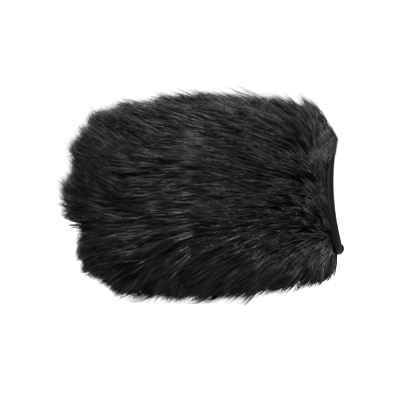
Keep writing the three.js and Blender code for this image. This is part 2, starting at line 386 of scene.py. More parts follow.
def colour_ramp(nodes, dark, light, start=0, end=1):
    made = nodes.new("ShaderNodeValToRGB")
    first, last = made.color_ramp.elements
    first.color = (*dark, 1)
    first.position = start
    last.color = (*light, 1)
    last.position = end
    return made


def material(name, dark, light, pattern, scale, roughness, bump=0.4, depth=0.1, shine=0.3):
    """A procedural fabric or foam: a fine pattern and slow mottling set the colour and the relief."""
    made, nodes, links, shader = new_material(name)
    place = nodes.new("ShaderNodeTexCoord")
    fine, height = fine_pattern(nodes, pattern, scale)
    slow = nodes.new("ShaderNodeTexNoise")
    slow.inputs["Scale"].default_value = scale / MOTTLE_SIZE
    slow.inputs["Detail"].default_value = 4
    for texture in (fine, slow):
        links.new(place.outputs["Object"], texture.inputs["Vector"])
    both = nodes.new("ShaderNodeMix")
    both.inputs["Factor"].default_value = 0.5
    links.new(height, both.inputs["A"])
    links.new(slow.outputs["Fac"], both.inputs["B"])
    colour = colour_ramp(nodes, dark, light, 0.25, 0.75)
    links.new(both.outputs["Result"], colour.inputs[0])
    links.new(colour.outputs[0], shader.inputs["Base Color"])
    relief = nodes.new("ShaderNodeBump")
    relief.inputs["Strength"].default_value = bump
    relief.inputs["Distance"].default_value = depth * MM
    links.new(height, relief.inputs["Height"])
    links.new(relief.outputs["Normal"], shader.inputs["Normal"])
    shader.inputs["Roughness"].default_value = roughness
    shader.inputs["Specular IOR Level"].default_value = shine
    return made


def pile_material():
    """Hair with a tone and shine on each strand, partly its own, partly painted light and shade; darker
    towards its root.
    """
    made, nodes, links, shader = new_material("pile_fibre")
    uv = nodes.new("ShaderNodeUVMap")
    uv.uv_map = "OFBake"
    split = nodes.new("ShaderNodeSeparateXYZ")
    links.new(uv.outputs["UV"], split.inputs[0])
    tone = colour_ramp(nodes, (0.0008, 0.0008, 0.0009), (0.03, 0.03, 0.0307))
    links.new(split.outputs["X"], tone.inputs[0])
    root_shade = colour_ramp(nodes, (0.12, 0.12, 0.12), (1, 1, 1))
    links.new(split.outputs["Y"], root_shade.inputs[0])
    mix = nodes.new("ShaderNodeMix")
    mix.data_type = "RGBA"
    mix.blend_type = "MULTIPLY"
    mix.inputs["Factor"].default_value = 1
    links.new(tone.outputs[0], mix.inputs["A"])
    links.new(root_shade.outputs[0], mix.inputs["B"])
    links.new(mix.outputs["Result"], shader.inputs["Base Color"])
    shine = nodes.new("ShaderNodeMapRange")
    shine.inputs["To Min"].default_value, shine.inputs["To Max"].default_value = PILE_SHINE
    links.new(split.outputs["X"], shine.inputs["Value"])
    links.new(shine.outputs["Result"], shader.inputs["Specular IOR Level"])
    shader.inputs["Roughness"].default_value = 0.35
    return made


# ---- Materials and bodies ----------------------------------------------------------------------


def finish(obj, look, slot_name, *nodes):
    """Gives a piece its material and hides the CAD nodes whose place it takes. The slot name is not used."""
    obj.data.materials.clear()
    obj.data.materials.append(look)
    if nodes:
        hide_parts(*nodes)


def finish_fixed(obj, look, slot_name, *nodes):
    """Finishes a piece that stays with the sleeve."""
    finish(obj, look, slot_name, *nodes)
    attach(obj, "cover")


LIP = {"front": -1, "back": 1}


def stretch(obj):
    """Bakes a piece's transform into its mesh."""
    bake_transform(obj)


def stretch_hem(obj):
    """Bakes a hem piece's transform into its mesh."""
    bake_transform(obj)


# ---- The pile ----------------------------------------------------------------------------------

# The number of tufts, of strands in each and of levels along a strand.
TUFTS = 7500
STRANDS_PER_TUFT = 10
LEVELS = 5
STRAND_SIDES = 3

# The strands' sizes. The hair is shorter by the mouth, and again at the mouth's upper corners.
PILE_LENGTH = 31 * MM
TUFT_LENGTHS = (0.8, 1.1)
STRAND_LENGTHS = (0.7, 1.08)
MOUTH_SHORTER = 0.35
CORNER_SHORTER = 0.3
ROOT_RADIUS = 0.26 * MM
STRAND_WIDTHS = (0.7, 1.15)
TAPER = 0.55
STRAND_ASIDE = np.array([0.31, 0.9, 0.27])

# The mesh pieces on each side, and how many of them, from the closed end, stay with the sleeve.
PIECES_PER_SIDE = 5
FIXED_PIECES = 3

# Where the tufts stand: two steps that never repeat spread them, and some line the top of the hem.
EVEN_STEPS = (0.7548776662, 0.5698402910)
FRINGE_TUFTS = 600
FRINGE_WIDTH = 5 * MM
FRINGE_SPAN = 0.21

# Heights below are above the axis, in shares of this one.
HALF_HEIGHT = 40 * MM

# The nap runs back from the mouth, rises or falls with height, and fans out at the closed end.
NAP_RISE = ([-1, -0.6, -0.3, 0.3, 1], [-1.1, -0.5, 0.12, 0.12, 0.2])
END_FAN = 0.6
END_FAN_MIDDLE = -0.5
END_FAN_SPAN = (10 * MM, -40 * MM)
CAP_SPAN = (SEAM_X + 5 * MM, SEAM_X)

# By the mouth it stands instead, and fans up above the join and down below it.
MOUTH_ZONE = 13 * MM
MOUTH_FAN = 1.0
MOUTH_STAND = 0.85
MOUTH_COVER = 0.1
COVER_HEIGHTS = (0.05, 0.45)
FAN_UP_HEIGHTS = (-0.6, -0.35)
FAN_DOWN_HEIGHTS = (-0.56, -0.68)

# At the mouth's upper corners, where the cloth faces sideways, it leans forwards and up.
CORNER_NAP = (0.9, 0, 0.7)
CORNER_HEIGHTS = (0.25, 0.55)
CORNER_SIDEWAYS = 0.7

# How the nap and the rise vary: slow waves, clumps of tufts, single tufts and single strands.
WAVE_SIZE = 45 * MM
WAVE_TURN = 0.36
LIFT_SIZE = 30 * MM
WAVE_LIFT = 0.35
RUFFLED = ([-20, 30], [1, 0.35])
CLUMPS = 620
CLUMP_PULL = 0.3
END_PULL = 0.9
CLUMP_TURN = 0.1
CLUMP_LIFT = 0.18
OWN_TURN = 0.08
STRAND_TURN = 0.08
TUFT_SPREAD = 0.9 * MM
TUFT_GATHER = (0.15, 0.65)
DROOP = 0.1

# How steeply the hair rises, as the sine of its angle to the cloth, and how that falls along it.
PILE_HEIGHTS = (7 * MM, 20 * MM)
TUFT_RISES = (0.7, 1.05)
BODY_RISE = 0.85
MOUTH_RISE = 0.7
CORNER_RISE = 0.8
CAP_RISE = 0.9
RISE_LIMITS = (0.12, 0.9)
RISE_ALONG = ([0, 0.3, 1], [1.9, 1.1, 0.45])
STEEPEST = 0.95

# The surface that the tips are trimmed to, how far they scatter about it, and the floor.
END_REACH_START = SEAM_X + 8 * MM
END_RAGGED = 2.6 * MM
STRAND_RAGGED = 0.6
MOUTH_MARGIN = 2.6 * MM
MOUTH_BEVEL = 0.5
MOUTH_SAG = 7 * MM
REACH = 0.99
TUFT_REACH = 0.03
STRAY_REACH = 0.09
OUTSIDE = 2
SHORTEST = 0.2
TRIM_ROUNDS = 14
FLOOR_Z = -6 * MM

# How much further out the pile runs than the CAD outline, in mm: at heights above the axis for the
# closed end, and at places along the axis for the top and the underside.
END_OUTLINE = ([-46, -36, -22, -13, -7, 6, 22, 36], [-4, 3, -3, -0.5, 7.5, 1, -3, 0])
TOP_OUTLINE = ([36, 50, 55, 61, 68], [0, 3.5, 6, 0, -3])
UNDER_OUTLINE = ([-53, -42, -27, 14, 24, 33, 42, 54, 64], [0, 8, 0, 0, 2.5, -1.5, 1.5, 2, 0])
END_OUTLINE_WIDTH = 22 * MM
OUTLINE_FADE = 30 * MM

# The strands' tones, from 0 for the darkest to 1, and how they scatter by tuft and by strand.
TUFT_TONE = 0.12
STRAND_TONE = ([-20, 30], [0.5, 0.3])
TONE_LIMITS = (0.02, 0.98)
TONE_SKEW = 1.5

# Painted highlights and painted shade on the nap: broad places where the strands' tone, and with it
# their colour and shine, is raised where the hair would catch the light or lowered where it lies in
# shade: along the axis, height above it, length and height of the place in mm, and strength.
PAINTED_LIGHT_PATCHES = (
    (-7, 27, 6, 10, 0.7),
    (-32, 24, 14, 9, 0.2),
    (-14, -4, 24, 7, 0.2),
    (55, -24, 10, 7, 0.6),
    (57, 28, 9, 20, 0.25),
    (-65, -10, 8, 24, -0.35),
    (-42, -38, 22, 10, -0.35),
)

# The plane waves that make up a slow variation: how many of each size, how many sizes, how much
# finer and weaker each size is than the one before, and what their sum is divided by.
WAVES_EACH = 10
WAVE_SIZES = 2
FINER = 1.8
WEAKER = 1.6
WAVES_LEVEL = 3.4


def measure_pile():
    """The pile's half height at places along the axis, from the outside of the CAD fur."""
    tree = cad_tree("fur_front_panel", "fur_end_panel")
    places = np.linspace(END_X + 0.3 * MM, HEM_TOP_X, 90)
    high = []
    for x in places:
        hit = tree.ray_cast(Vector((x, -MM, AXIS_Z + 1)), Vector((0, 0, -1)))[0]
        high.append(hit.z - AXIS_Z if hit else 0)
    high = np.array(high)
    return places[high > 0], high[high > 0]


pile_x, pile_r = measure_pile()
SAG_SPAN = (pile_x[-1] - 16 * MM, pile_x[-1] - 6 * MM)
SAG_HEIGHTS = (AXIS_Z, AXIS_Z - 15 * MM)


def further_out(points):
    """How much further out the pile runs than the CAD outline, at the top or the underside."""
    top = np.interp(points[..., 0] / MM, *TOP_OUTLINE)
    under = np.interp(points[..., 0] / MM, *UNDER_OUTLINE)
    height = points[..., 2] - AXIS_Z
    return np.where(height > 0, top, under) * MM * ramp(np.abs(height), 0, OUTLINE_FADE)


def painted_light_and_shade(points):
    """Painted highlights and painted shade on the nap, as a shift in tone."""
    total = np.zeros(points.shape[:-1])
    for x, height, length, tall, strength in PAINTED_LIGHT_PATCHES:
        away = ((points[..., 0] / MM - x) / length) ** 2
        away = away + (((points[..., 2] - AXIS_Z) / MM - height) / tall) ** 2
        total += strength * np.exp(-away)
    return total


def outness(points, end_reach):
    """How far out points are: 1 on the pile's surface, which end_reach moves out at the closed end."""
    x, y, z = points[..., 0], points[..., 1], points[..., 2]
    towards_end = ramp(x, END_REACH_START, END_X)
    sag = MOUTH_SAG * ramp(x, *SAG_SPAN) * ramp(z, *SAG_HEIGHTS)
    r = np.interp(x + end_reach * towards_end - sag, pile_x, pile_r, left=MM) + further_out(points)
    up = np.abs(z - AXIS_Z) / r
    aside = np.abs(y) / (r * PILE_DEPTH)
    out = (up**SQUARENESS + aside**SQUARENESS) ** (1 / SQUARENESS)
    above_hem = np.maximum(z - HEM_Z - HEM_HEIGHT, 0)
    hem_front = np.polyval(hem_curve, z - above_hem) + MOUTH_MARGIN
    return np.where(x > hem_front - MOUTH_BEVEL * above_hem, OUTSIDE, out)


def waves(points, seed, size):
    """Smooth random vectors in space, as a sum of plane waves about size across."""
    local = np.random.default_rng(seed)
    total = np.zeros_like(points)
    for octave in range(WAVE_SIZES):
        for _ in range(WAVES_EACH):
            k = unit(local.normal(size=3)) * 2 * np.pi / (size / FINER**octave)
            phase = local.uniform(0, 2 * np.pi)
            total += np.sin(points @ k + phase)[:, None] * local.normal(size=3) / WEAKER**octave
    return total / WAVES_LEVEL


def tuft_roots():
    """Roots spread evenly over the backing cloth, and a fringe along the top of the hem."""
    weight = np.cumsum(skin_r + MM)
    weight = (weight - weight[0]) / (weight[-1] - weight[0])
    a, b = ((np.arange(TUFTS) * step + 0.5) % 1 for step in EVEN_STEPS)
    s = np.interp(a[FRINGE_TUFTS:], weight, skin_s)
    fringe_s = SKIN_END - FRINGE_WIDTH * a[:FRINGE_TUFTS]
    fringe_around = TOP + FRINGE_SPAN * (2 * b[:FRINGE_TUFTS] - 1)
    return np.concatenate([fringe_s, s]), np.concatenate([fringe_around, b[FRINGE_TUFTS:]])


def across(v, normal):
    """The part of v that lies along the surface."""
    return v - normal * np.sum(v * normal, -1, keepdims=True)


def clump(root, normal):
    """For each tuft, the offset along the surface to the middle of its clump, and the clump's number."""
    centres = rng.permutation(len(root))[:CLUMPS]
    tree = KDTree(CLUMPS)
    for i, k in enumerate(centres):
        tree.insert(root[k], i)
    tree.balance()
    nearest = np.array([tree.find(p)[1] for p in root])
    return across(root[centres[nearest]] - root, normal), nearest


def nap(root, normal, height, near, corner):
    """The way the hair lies along the cloth at each root, by how near it is to the mouth and a corner."""
    at_end = ramp(root[:, 0], *END_FAN_SPAN)
    fan = ramp(height, *FAN_UP_HEIGHTS) - ramp(height, *FAN_DOWN_HEIGHTS)
    stand = MOUTH_STAND + MOUTH_COVER * ramp(height, *COVER_HEIGHTS)
    back = -1 + stand * near * np.abs(fan)
    up = np.interp(height, *NAP_RISE) + END_FAN * at_end * (height - END_FAN_MIDDLE) + near * MOUTH_FAN * fan
    lie = np.stack([back, 0 * height, up], -1)
    return across(lie * (1 - corner[:, None]) + np.array(CORNER_NAP) * corner[:, None], normal)


def strand_curves(root, normal, flow, own, length, rise, to_clump):
    """Every strand as a row of points, before it is trimmed: (strand, level, xyz)."""
    n = STRANDS_PER_TUFT
    spread = across(rng.normal(size=(TUFTS, n, 3)) * TUFT_SPREAD, normal[:, None])
    own_strand = rng.normal(size=(TUFTS, n, 3)) * STRAND_TURN
    step = length[:, None] * rng.uniform(*STRAND_LENGTHS, (TUFTS, n)) / (LEVELS - 1)
    gather = rng.uniform(*TUFT_GATHER, TUFTS)[:, None, None]
    points = []
    centre = root[:, None] + 0 * spread
    for t in np.linspace(0, 1, LEVELS):
        points.append(centre + spread * (1 - gather * t**1.3) + to_clump[:, None] * t**1.2)
        up = np.clip(rise * np.interp(t, *RISE_ALONG), 0, STEEPEST)[:, None]
        way = normal * up + flow * np.sqrt(1 - up**2) + own * (0.3 + t)
        way[:, 2] -= DROOP * t
        way = way[:, None] + own_strand * (0.3 + 1.2 * t)
        centre = centre + unit(way) * step[..., None]
    return np.stack(points, 2).reshape(TUFTS * n, LEVELS, 3)


def trim(curve, reach, end_reach):
    """Shortens each strand about its root until its tip is no further out than reach."""
    root = curve[:, :1]
    low, high = np.full(len(curve), SHORTEST), np.ones(len(curve))
    for _ in range(TRIM_ROUNDS):
        middle = (low + high) / 2
        tip = root[:, 0] + (curve[:, -1] - root[:, 0]) * middle[:, None]
        inside = outness(tip, end_reach) <= reach
        low = np.where(inside, middle, low)
        high = np.where(inside, high, middle)
    whole = outness(curve[:, -1], end_reach) <= reach
    return root + (curve - root) * np.where(whole, 1, low)[:, None, None]


def trim_to_surface(curve, clump_lift):
    """Trims the strands to the pile's surface, with scatter by clump, tuft and strand."""
    size = (TUFTS, STRANDS_PER_TUFT)
    lift = clump_lift[:, None]
    tuft_reach = REACH + TUFT_REACH * (rng.normal(size=(TUFTS, 1)) + lift)
    reach = tuft_reach + STRAY_REACH * rng.uniform(0, 1, size) ** 3
    ragged = END_RAGGED * (rng.normal(size=size) * STRAND_RAGGED + lift)
    tip = curve[:, -1]
    end_reach = np.interp((tip[:, 2] - AXIS_Z) / MM, *END_OUTLINE) * MM
    end_reach = end_reach * np.exp(-((tip[:, 1] / END_OUTLINE_WIDTH) ** 2)) + ragged.ravel()
    curve = trim(curve, reach.ravel(), end_reach)
    curve[..., 2] = np.maximum(curve[..., 2], FLOOR_Z)
    return curve


def tones_with_painted_light(root, curve):
    own_tone = np.interp(root[:, :1] / MM, *STRAND_TONE) * rng.normal(size=(TUFTS, STRANDS_PER_TUFT))
    tone = rng.normal(0.5, TUFT_TONE, (TUFTS, 1)) + own_tone
    # Painted highlights and painted shade are added to each strand's tone here.
    return np.clip(tone.ravel() + painted_light_and_shade(curve[:, -1]), *TONE_LIMITS) ** TONE_SKEW


def grow():
    """The strands' points and tones, and the distance of each one's root along the cloth."""
    s, around = tuft_roots()
    root, normal = skin(s, around)
    x = root[:, 0]
    height = (root[:, 2] - AXIS_Z) / HALF_HEIGHT
    near = ramp(x, HEM_MIDDLE_X - MOUTH_ZONE, HEM_MIDDLE_X)
    corner = near * ramp(height, *CORNER_HEIGHTS) * ramp(np.abs(normal[:, 1]), 0, CORNER_SIDEWAYS)
    at_cap = ramp(x, *CAP_SPAN)
    to_clump, clump_id = clump(root, normal)
    clump_lift = rng.normal(size=CLUMPS)[clump_id]
    clump_turn = rng.normal(size=(CLUMPS, 3))[clump_id]

    ruffled = np.interp(x / MM, *RUFFLED)[:, None]
    turned = (waves(root, 3, WAVE_SIZE) * WAVE_TURN + clump_turn * CLUMP_TURN) * ruffled
    flow = unit(nap(root, normal, height, near, corner) + across(turned, normal))
    own = rng.normal(size=(TUFTS, 3)) * OWN_TURN

    length = PILE_LENGTH * rng.uniform(*TUFT_LENGTHS, TUFTS)
    length *= (1 - MOUTH_SHORTER * near) * (1 - CORNER_SHORTER * corner)
    depth = np.clip(np.interp(x, pile_x, pile_r) - np.interp(s, skin_s, skin_r), *PILE_HEIGHTS)
    depth += further_out(root - np.array([PILE_LENGTH / 2, 0, 0]) * (1 - near[:, None]))
    lift = 1 + WAVE_LIFT * waves(root, 11, LIFT_SIZE)[:, 0] + CLUMP_LIFT * clump_lift
    rise = depth / length * rng.uniform(*TUFT_RISES, TUFTS) * lift * (BODY_RISE + MOUTH_RISE * near)
    rise += CORNER_RISE * corner * (1 - corner)
    rise = np.clip(rise * (1 - at_cap) + CAP_RISE * at_cap, *RISE_LIMITS)

    pull = CLUMP_PULL + (END_PULL - CLUMP_PULL) * at_cap
    curve = strand_curves(root, normal, flow, own, length, rise, to_clump * pull[:, None])
    curve = trim_to_surface(curve, clump_lift)
    return curve, tones_with_painted_light(root, curve), np.repeat(s, STRANDS_PER_TUFT)


def strand_points(curve, radius):
    """The vertices of each strand: a ring at every level but the last, and the tip."""
    along = unit(np.gradient(curve, axis=1))
    side = unit(np.cross(along, STRAND_ASIDE))
    other = np.cross(along, side)
    width = radius[:, None] * (1 - TAPER * np.linspace(0, 1, LEVELS)[:-1])
    angle = even_angles(STRAND_SIDES)[:, None]
    turned = np.cos(angle) * side[:, :-1, None] + np.sin(angle) * other[:, :-1, None]
    rings = curve[:, :-1, None] + turned * width[..., None, None]
    return np.concatenate([rings.reshape(len(curve), -1, 3), curve[:, -1:]], 1)


def strand_faces():
    """The faces of one strand, as the numbers of its vertices."""
    tip = STRAND_SIDES * (LEVELS - 1)
    last = tip - STRAND_SIDES
    faces = []
    for first in range(0, last, STRAND_SIDES):
        for k in range(STRAND_SIDES):
            a, b = first + k, first + (k + 1) % STRAND_SIDES
            faces.append([a, b, b + STRAND_SIDES, a + STRAND_SIDES])
    faces.append(list(range(STRAND_SIDES))[::-1])
    faces += [[last + k, last + (k + 1) % STRAND_SIDES, tip] for k in range(STRAND_SIDES)]
    return faces


def strand_mesh(name, curve, tone, radius):
    """One object of closed, tapered strands. Its UVs hold each strand's tone and the way along it."""
    verts = strand_points(curve, radius)
    count, per_strand = verts.shape[:2]
    faces = strand_faces()
    pattern = np.concatenate(faces)
    totals = np.tile([len(face) for face in faces], count)
    mesh = bpy.data.meshes.new(name)
    mesh.vertices.add(count * per_strand)
    mesh.vertices.foreach_set("co", verts.astype(np.float32).ravel())
    loops = (np.arange(count)[:, None] * per_strand + pattern).ravel()
    mesh.loops.add(len(loops))
    mesh.loops.foreach_set("vertex_index", loops.astype(np.int32))
    starts = np.concatenate([[0], np.cumsum(totals)[:-1]])
    mesh.polygons.add(len(totals))
    mesh.polygons.foreach_set("loop_start", starts.astype(np.int32))
    mesh.polygons.foreach_set("use_smooth", np.ones(len(totals), bool))
    place = np.append(np.repeat(np.linspace(0, 1, LEVELS)[:-1], STRAND_SIDES), 1)
    uv = np.stack([np.repeat(tone, len(pattern)), np.tile(place[pattern], count)], -1)
    layer = mesh.uv_layers.new(name="OFBake")
    layer.data.foreach_set("uv", uv.astype(np.float32).ravel())
    mesh.update(calc_edges=True)
    return add_object(name, mesh)


def build_pile():
    """Hair in front and back pieces, in order along the sleeve. Those by the closed end stay with the
    sleeve.
    """
    curve, tone, root_s = grow()
    look = pile_material()
    radius = ROOT_RADIUS * rng.uniform(*STRAND_WIDTHS, len(curve))
    order = np.argsort(root_s)
    front = curve[:, 0, 1] < 0
    for side, chosen in (("front", front), ("back", ~front)):
        for k, part in enumerate(np.array_split(order[chosen[order]], PIECES_PER_SIDE)):
            piece = strand_mesh(f"pile_{side}_{k + 1}", curve[part], tone[part], radius[part])
            if k < FIXED_PIECES:
                finish_fixed(piece, look, "pile")
            else:
                finish(piece, look, "pile")
                stretch(piece)
    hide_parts("fur_front_panel", "fur_back_panel", "fur_end_panel")


# ---- Backing cloth, foam, lining and seams -----------------------------------------------------

# How far each layer lies below the backing cloth's surface, and how thick it is.
BACKING_LAYER = (0.2 * MM, 0.8 * MM)
FOAM_LAYER = (1.5 * MM, 4.3 * MM)
LINING_LAYER = (7 * MM, 0.7 * MM)
WRINKLE_SIZE = 14 * MM
DISH_SIZE = 12 * MM
END_DISC_HALF = 27 * MM
PAD_GAP = 2 * MM
DISC_GAP = 7.4 * MM
RING_SEAM_DEPTH = {"end_seam_thread": 0.6 * MM, "lining_end_thread": 8.6 * MM}


def half_sheet(name, side, s_span, layer, wrinkle, seed, steps=70, spans=64):
    """Half of a sleeve, on one side of the two long seams, at its own depth below the backing cloth."""
    inset, thickness = layer
    s = np.linspace(*s_span, steps)[:, None] + np.zeros((1, spans))
    half_way = np.linspace(TOP, BOTTOM, spans)
    around = (half_way if side == "front" else half_way + 0.5)[None] + np.zeros((steps, 1))
    bulge = waves(skin_point(s, around).reshape(-1, 3), seed, WRINKLE_SIZE)[:, 0].reshape(s.shape) * wrinkle
    bulge *= ease(np.minimum(np.abs(around - around[:, :1]), np.abs(around - around[:, -1:])) * 8)
    outer = skin_point(s, around, inset + bulge)
    inner = skin_point(s, around, inset + thickness + bulge)
    return sheet(name, outer, inner)


def dished_disc(name, x_span, half_heights, dish, seed):
    """A disc with the sleeve's own section, its own half height on each face, and a slight dish."""
    u = np.linspace(-1, 1, 61)
    a, b = np.meshgrid(u, u, indexing="ij")
    most = np.maximum(np.abs(a), np.abs(b))
    norm = (np.abs(a) ** SQUARENESS + np.abs(b) ** SQUARENESS) ** (1 / SQUARENESS)
    k = most / np.maximum(norm, 1e-9)
    flat = np.stack([0 * k, a * k * SKIN_DEPTH, b * k], -1)
    bump = waves(flat.reshape(-1, 3) * half_heights[1], seed, DISH_SIZE)[:, 0].reshape(k.shape) * dish
    end_face, mouth_face = (flat * half + [x, 0, AXIS_Z] for half, x in zip(half_heights, x_span))
    mouth_face[..., 0] += bump * (1 - most**4)
    return sheet(name, mouth_face, end_face)


def build_backing():
    look = material("backing_cloth", (0.002, 0.002, 0.002), (0.008, 0.008, 0.008), "diagonal", 900, 0.8)
    x_span = (SEAM_X - 0.6 * MM, SEAM_X + 0.2 * MM)
    end = dished_disc("backing_end", x_span, (END_DISC_HALF, END_DISC_HALF), 0.1 * MM, 21)
    finish_fixed(end, look, "pile")
    for side in LIP:
        cloth = half_sheet(f"backing_{side}", side, (END_DISC_HALF, SKIN_END), BACKING_LAYER, 0, 1)
        finish(cloth, look, "pile")
        stretch(cloth)


def build_foam():
    look = material("open_foam", (0.02, 0.02, 0.022), (0.06, 0.06, 0.064), "cell", 700, 0.95, 0.8, 0.4)
    s_span = (s_at(foam_low.x), s_at(foam_high.x))
    for side in LIP:
        foam = half_sheet(f"foam_{side}", side, s_span, FOAM_LAYER, 0.15 * MM, 5)
        finish(foam, look, "foam", *(["foam_sleeve"] if side == "front" else []))
        stretch(foam)
    x_span = [corner.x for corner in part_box("foam_end_pad")]
    half_heights = [skin_half(x) - PAD_GAP for x in x_span]
    pad = dished_disc("foam_pad", x_span, half_heights, 0.15 * MM, 31)
    finish_fixed(pad, look, "foam", "foam_end_pad")


def build_lining():
    dark, light = (0.006, 0.006, 0.007), (0.03, 0.03, 0.032)
    look = material("knit_lining", dark, light, "diagonal", 330, 0.75, 0.5, 0.15)
    s_span = (s_at(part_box("lining_sleeve")[0].x), SKIN_END)
    for side in LIP:
        lining = half_sheet(f"lining_{side}", side, s_span, LINING_LAYER, 0.3 * MM, 9, 110, 90)
        finish(lining, look, "lining", *(["lining_sleeve"] if side == "front" else []))
        stretch(lining)
    x_span = [corner.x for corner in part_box("lining_end_disc")]
    half = skin_half(x_span[0]) - DISC_GAP
    disc = dished_disc("lining_disc", x_span, (half, half), 0.3 * MM, 41)
    finish_fixed(disc, look, "lining", "lining_end_disc")


def ring_seam(node):
    """The line of a thread that runs round the axis, on the sleeve's own section."""
    low_corner, high_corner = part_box(node)
    x = (low_corner.x + high_corner.x) / 2
    half = min(high_corner.z - AXIS_Z - THREAD, skin_half(x) - RING_SEAM_DEPTH[node])
    share = np.linspace(0, 1, 240)
    y = np.interp(share, section_arc, section_y) * half * SKIN_DEPTH
    z = AXIS_Z + np.interp(share, section_arc, section_z) * half
    return np.stack([np.full_like(share, x), y, z], -1)


def long_seam(node):
    """The line of a thread that runs along the sleeve."""
    points = cad_points(node)
    fit = np.polyfit(points[:, 0], points[:, 2], 3)
    low_corner, high_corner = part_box(node)
    x = np.linspace(low_corner.x, high_corner.x, 200)
    return np.stack([x, 0 * x, np.polyval(fit, x)], -1)


def build_seams(look):
    """Stitches along the two long seams, and round the closed ends of the fur and of the lining."""
    for node in ("top_seam_thread", "bottom_seam_thread", *RING_SEAM_DEPTH):
        path = ring_seam(node) if node in RING_SEAM_DEPTH else long_seam(node)
        row = stitches(f"{node}_stitches", path, THREAD, 2.4 * MM, 0.5 * MM)
        finish_fixed(row, look, "thread", node)


# ---- The hem -----------------------------------------------------------------------------------

HEM_SQUARENESS = 2.5
HEM_STEPS = 240
HEM_SIDES = 28
CORD_SIDES = 14
GATHER_SPACING = 1.7 * MM
GATHER_DEPTH = 0.13 * MM
GROOVE_ANGLE = np.pi * 1.5
GROOVE_WIDTH = 0.5
GROOVE_DEPTH = 0.12


def hem_loop():
    """The hem's centre line as a closed loop in equal steps, from the top by way of the back."""
    a = np.linspace(0, 2 * np.pi, 4001)
    z = HEM_Z + HEM_HEIGHT * squarish(np.cos(a), HEM_SQUARENESS)
    y = HEM_DEPTH * squarish(np.sin(a), HEM_SQUARENESS)
    fine = np.stack([np.polyval(hem_curve, z), y, z], -1)
    s = distances(fine)
    even = np.linspace(0, s[-1], HEM_STEPS + 1)[:-1]
    return np.stack([np.interp(even, s, fine[:, k]) for k in range(3)], -1), s[-1]


def binding_radius(perimeter):
    """The binding's radius: gathers across it, and the groove where it is sewn to the sleeve."""
    place = np.arange(HEM_STEPS) / HEM_STEPS * perimeter
    noise = rng.normal(size=HEM_STEPS * 3)
    wander = np.convolve(noise, np.hanning(9), mode="same")[HEM_STEPS : 2 * HEM_STEPS]
    gathers = np.sin(2 * np.pi * place / GATHER_SPACING + 1.3 * wander)
    strength = 0.55 + 0.45 * np.sin(2 * np.pi * place / (perimeter / 5) + wander)
    angle = even_angles(HEM_SIDES)
    groove = GROOVE_DEPTH * bump_at(angle, GROOVE_ANGLE, GROOVE_WIDTH)
    relief = gathers[:, None] * strength[:, None] * (0.35 + 0.65 * np.cos(angle / 2)[None] ** 2)
    return HEM_RADIUS * (1 - groove[None]) - GATHER_DEPTH * (1 + relief) / 2


def build_hem(binding_look, cord_look, thread_look):
    """The binding, the elastic in its bore and the hem's stitches, each as a front and a back half."""
    loop, perimeter = hem_loop()
    side_way, other_way = path_frames(loop, closed=True)
    radius = binding_radius(perimeter)
    half = HEM_STEPS // 2
    spans = {"back": np.arange(half + 1), "front": (np.arange(half + 1) + half) % HEM_STEPS}
    for side, ids in spans.items():
        path = loop[ids]
        frames = (side_way[ids], other_way[ids])
        binding = hollow_tube(f"binding_{side}", path, frames, radius[ids], HEM_BORE, HEM_SIDES)
        finish(binding, binding_look, "binding", f"hem_binding_{side}")
        elastic = cord(f"cord_{side}", path, frames, CORD_RADIUS, CORD_SIDES)
        finish(elastic, cord_look, "elastic", f"hem_elastic_{side}")
        inwards = unit(np.array([0, 0, HEM_Z]) - path * np.array([0, 1, 1]))
        line = path - np.array([HEM_RADIUS * 0.8, 0, 0]) - inwards * HEM_RADIUS * 0.62
        row = stitches(f"hem_stitches_{side}", line, THREAD * 0.8, 1.9 * MM, 0.7 * MM)
        finish(row, thread_look, "thread", f"hem_thread_{side}")
        for piece in (binding, elastic, row):
            stretch_hem(piece)


def build_lump(look):
    """The lump at the bottom of the hem, where the binding's two ends are folded over each other."""
    half_width = (tab_high.y - tab_low.y) / 2
    share = np.linspace(-1, 1, 41)
    angle = even_angles(48)
    body = TAB_HALF_HEIGHT * (1 - 0.98 * np.abs(share) ** 3.2) ** 0.42
    fold = 1 - 0.07 * bump_at(angle, 2.2, 0.22)
    crease = 0.025 * np.sin(5 * share[:, None] + 3 * np.sin(angle)[None] + 1)
    r = body[:, None] * fold[None] * (1 - np.abs(crease))
    x = TAB_X + r * np.cos(angle)[None]
    z = TAB_Z + r * np.sin(angle)[None]
    y = np.repeat(share[:, None] * half_width, len(angle), 1)
    lump = solid("join_lump", *rings_parts(np.stack([x, y, z], -1), True))
    finish_fixed(lump, look, "binding", "hem_join_tab")


def build_bar_tack(look):
    """The thread that runs to and fro across the lump and holds it."""
    low_corner, high_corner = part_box("join_bar_tack")
    passes = 9
    t = np.linspace(0, 1, 8 * passes + 1)
    y = low_corner.y + (high_corner.y - low_corner.y) * t
    x = TAB_X + (high_corner.x - low_corner.x) / 2 * (2 * np.abs(2 * (t * passes % 1) - 1) - 1)
    path = np.stack([x, y, np.full_like(t, TAB_Z + TAB_HALF_HEIGHT - 0.1 * MM)], -1)
    tack = cord("bar_tack", path, path_frames(path), 0.2 * MM, 6)
    finish_fixed(tack, look, "thread", "join_bar_tack")


# ---- The side tag ------------------------------------------------------------------------------

TAG_SHARE = 0.74
TAG_LEVELS = 20
FOLD_RADIUS = 0.45 * MM
TAPE_HALF = 0.17 * MM
FLUTTER = 0.5 * MM


def tag_line(length):
    """The tape's line, as pairs of the way along and the way aside: out, round the fold and back."""
    straight = length - FOLD_RADIUS
    out = [(t * straight, -FOLD_RADIUS) for t in np.linspace(0, 1, 24)]
    fold_turn = np.linspace(-np.pi / 2, np.pi / 2, 9)[1:-1]
    fold = [(straight + FOLD_RADIUS * np.cos(a), FOLD_RADIUS * np.sin(a)) for a in fold_turn]
    return np.array(out + fold + [(t, FOLD_RADIUS) for t, _ in out[::-1]])


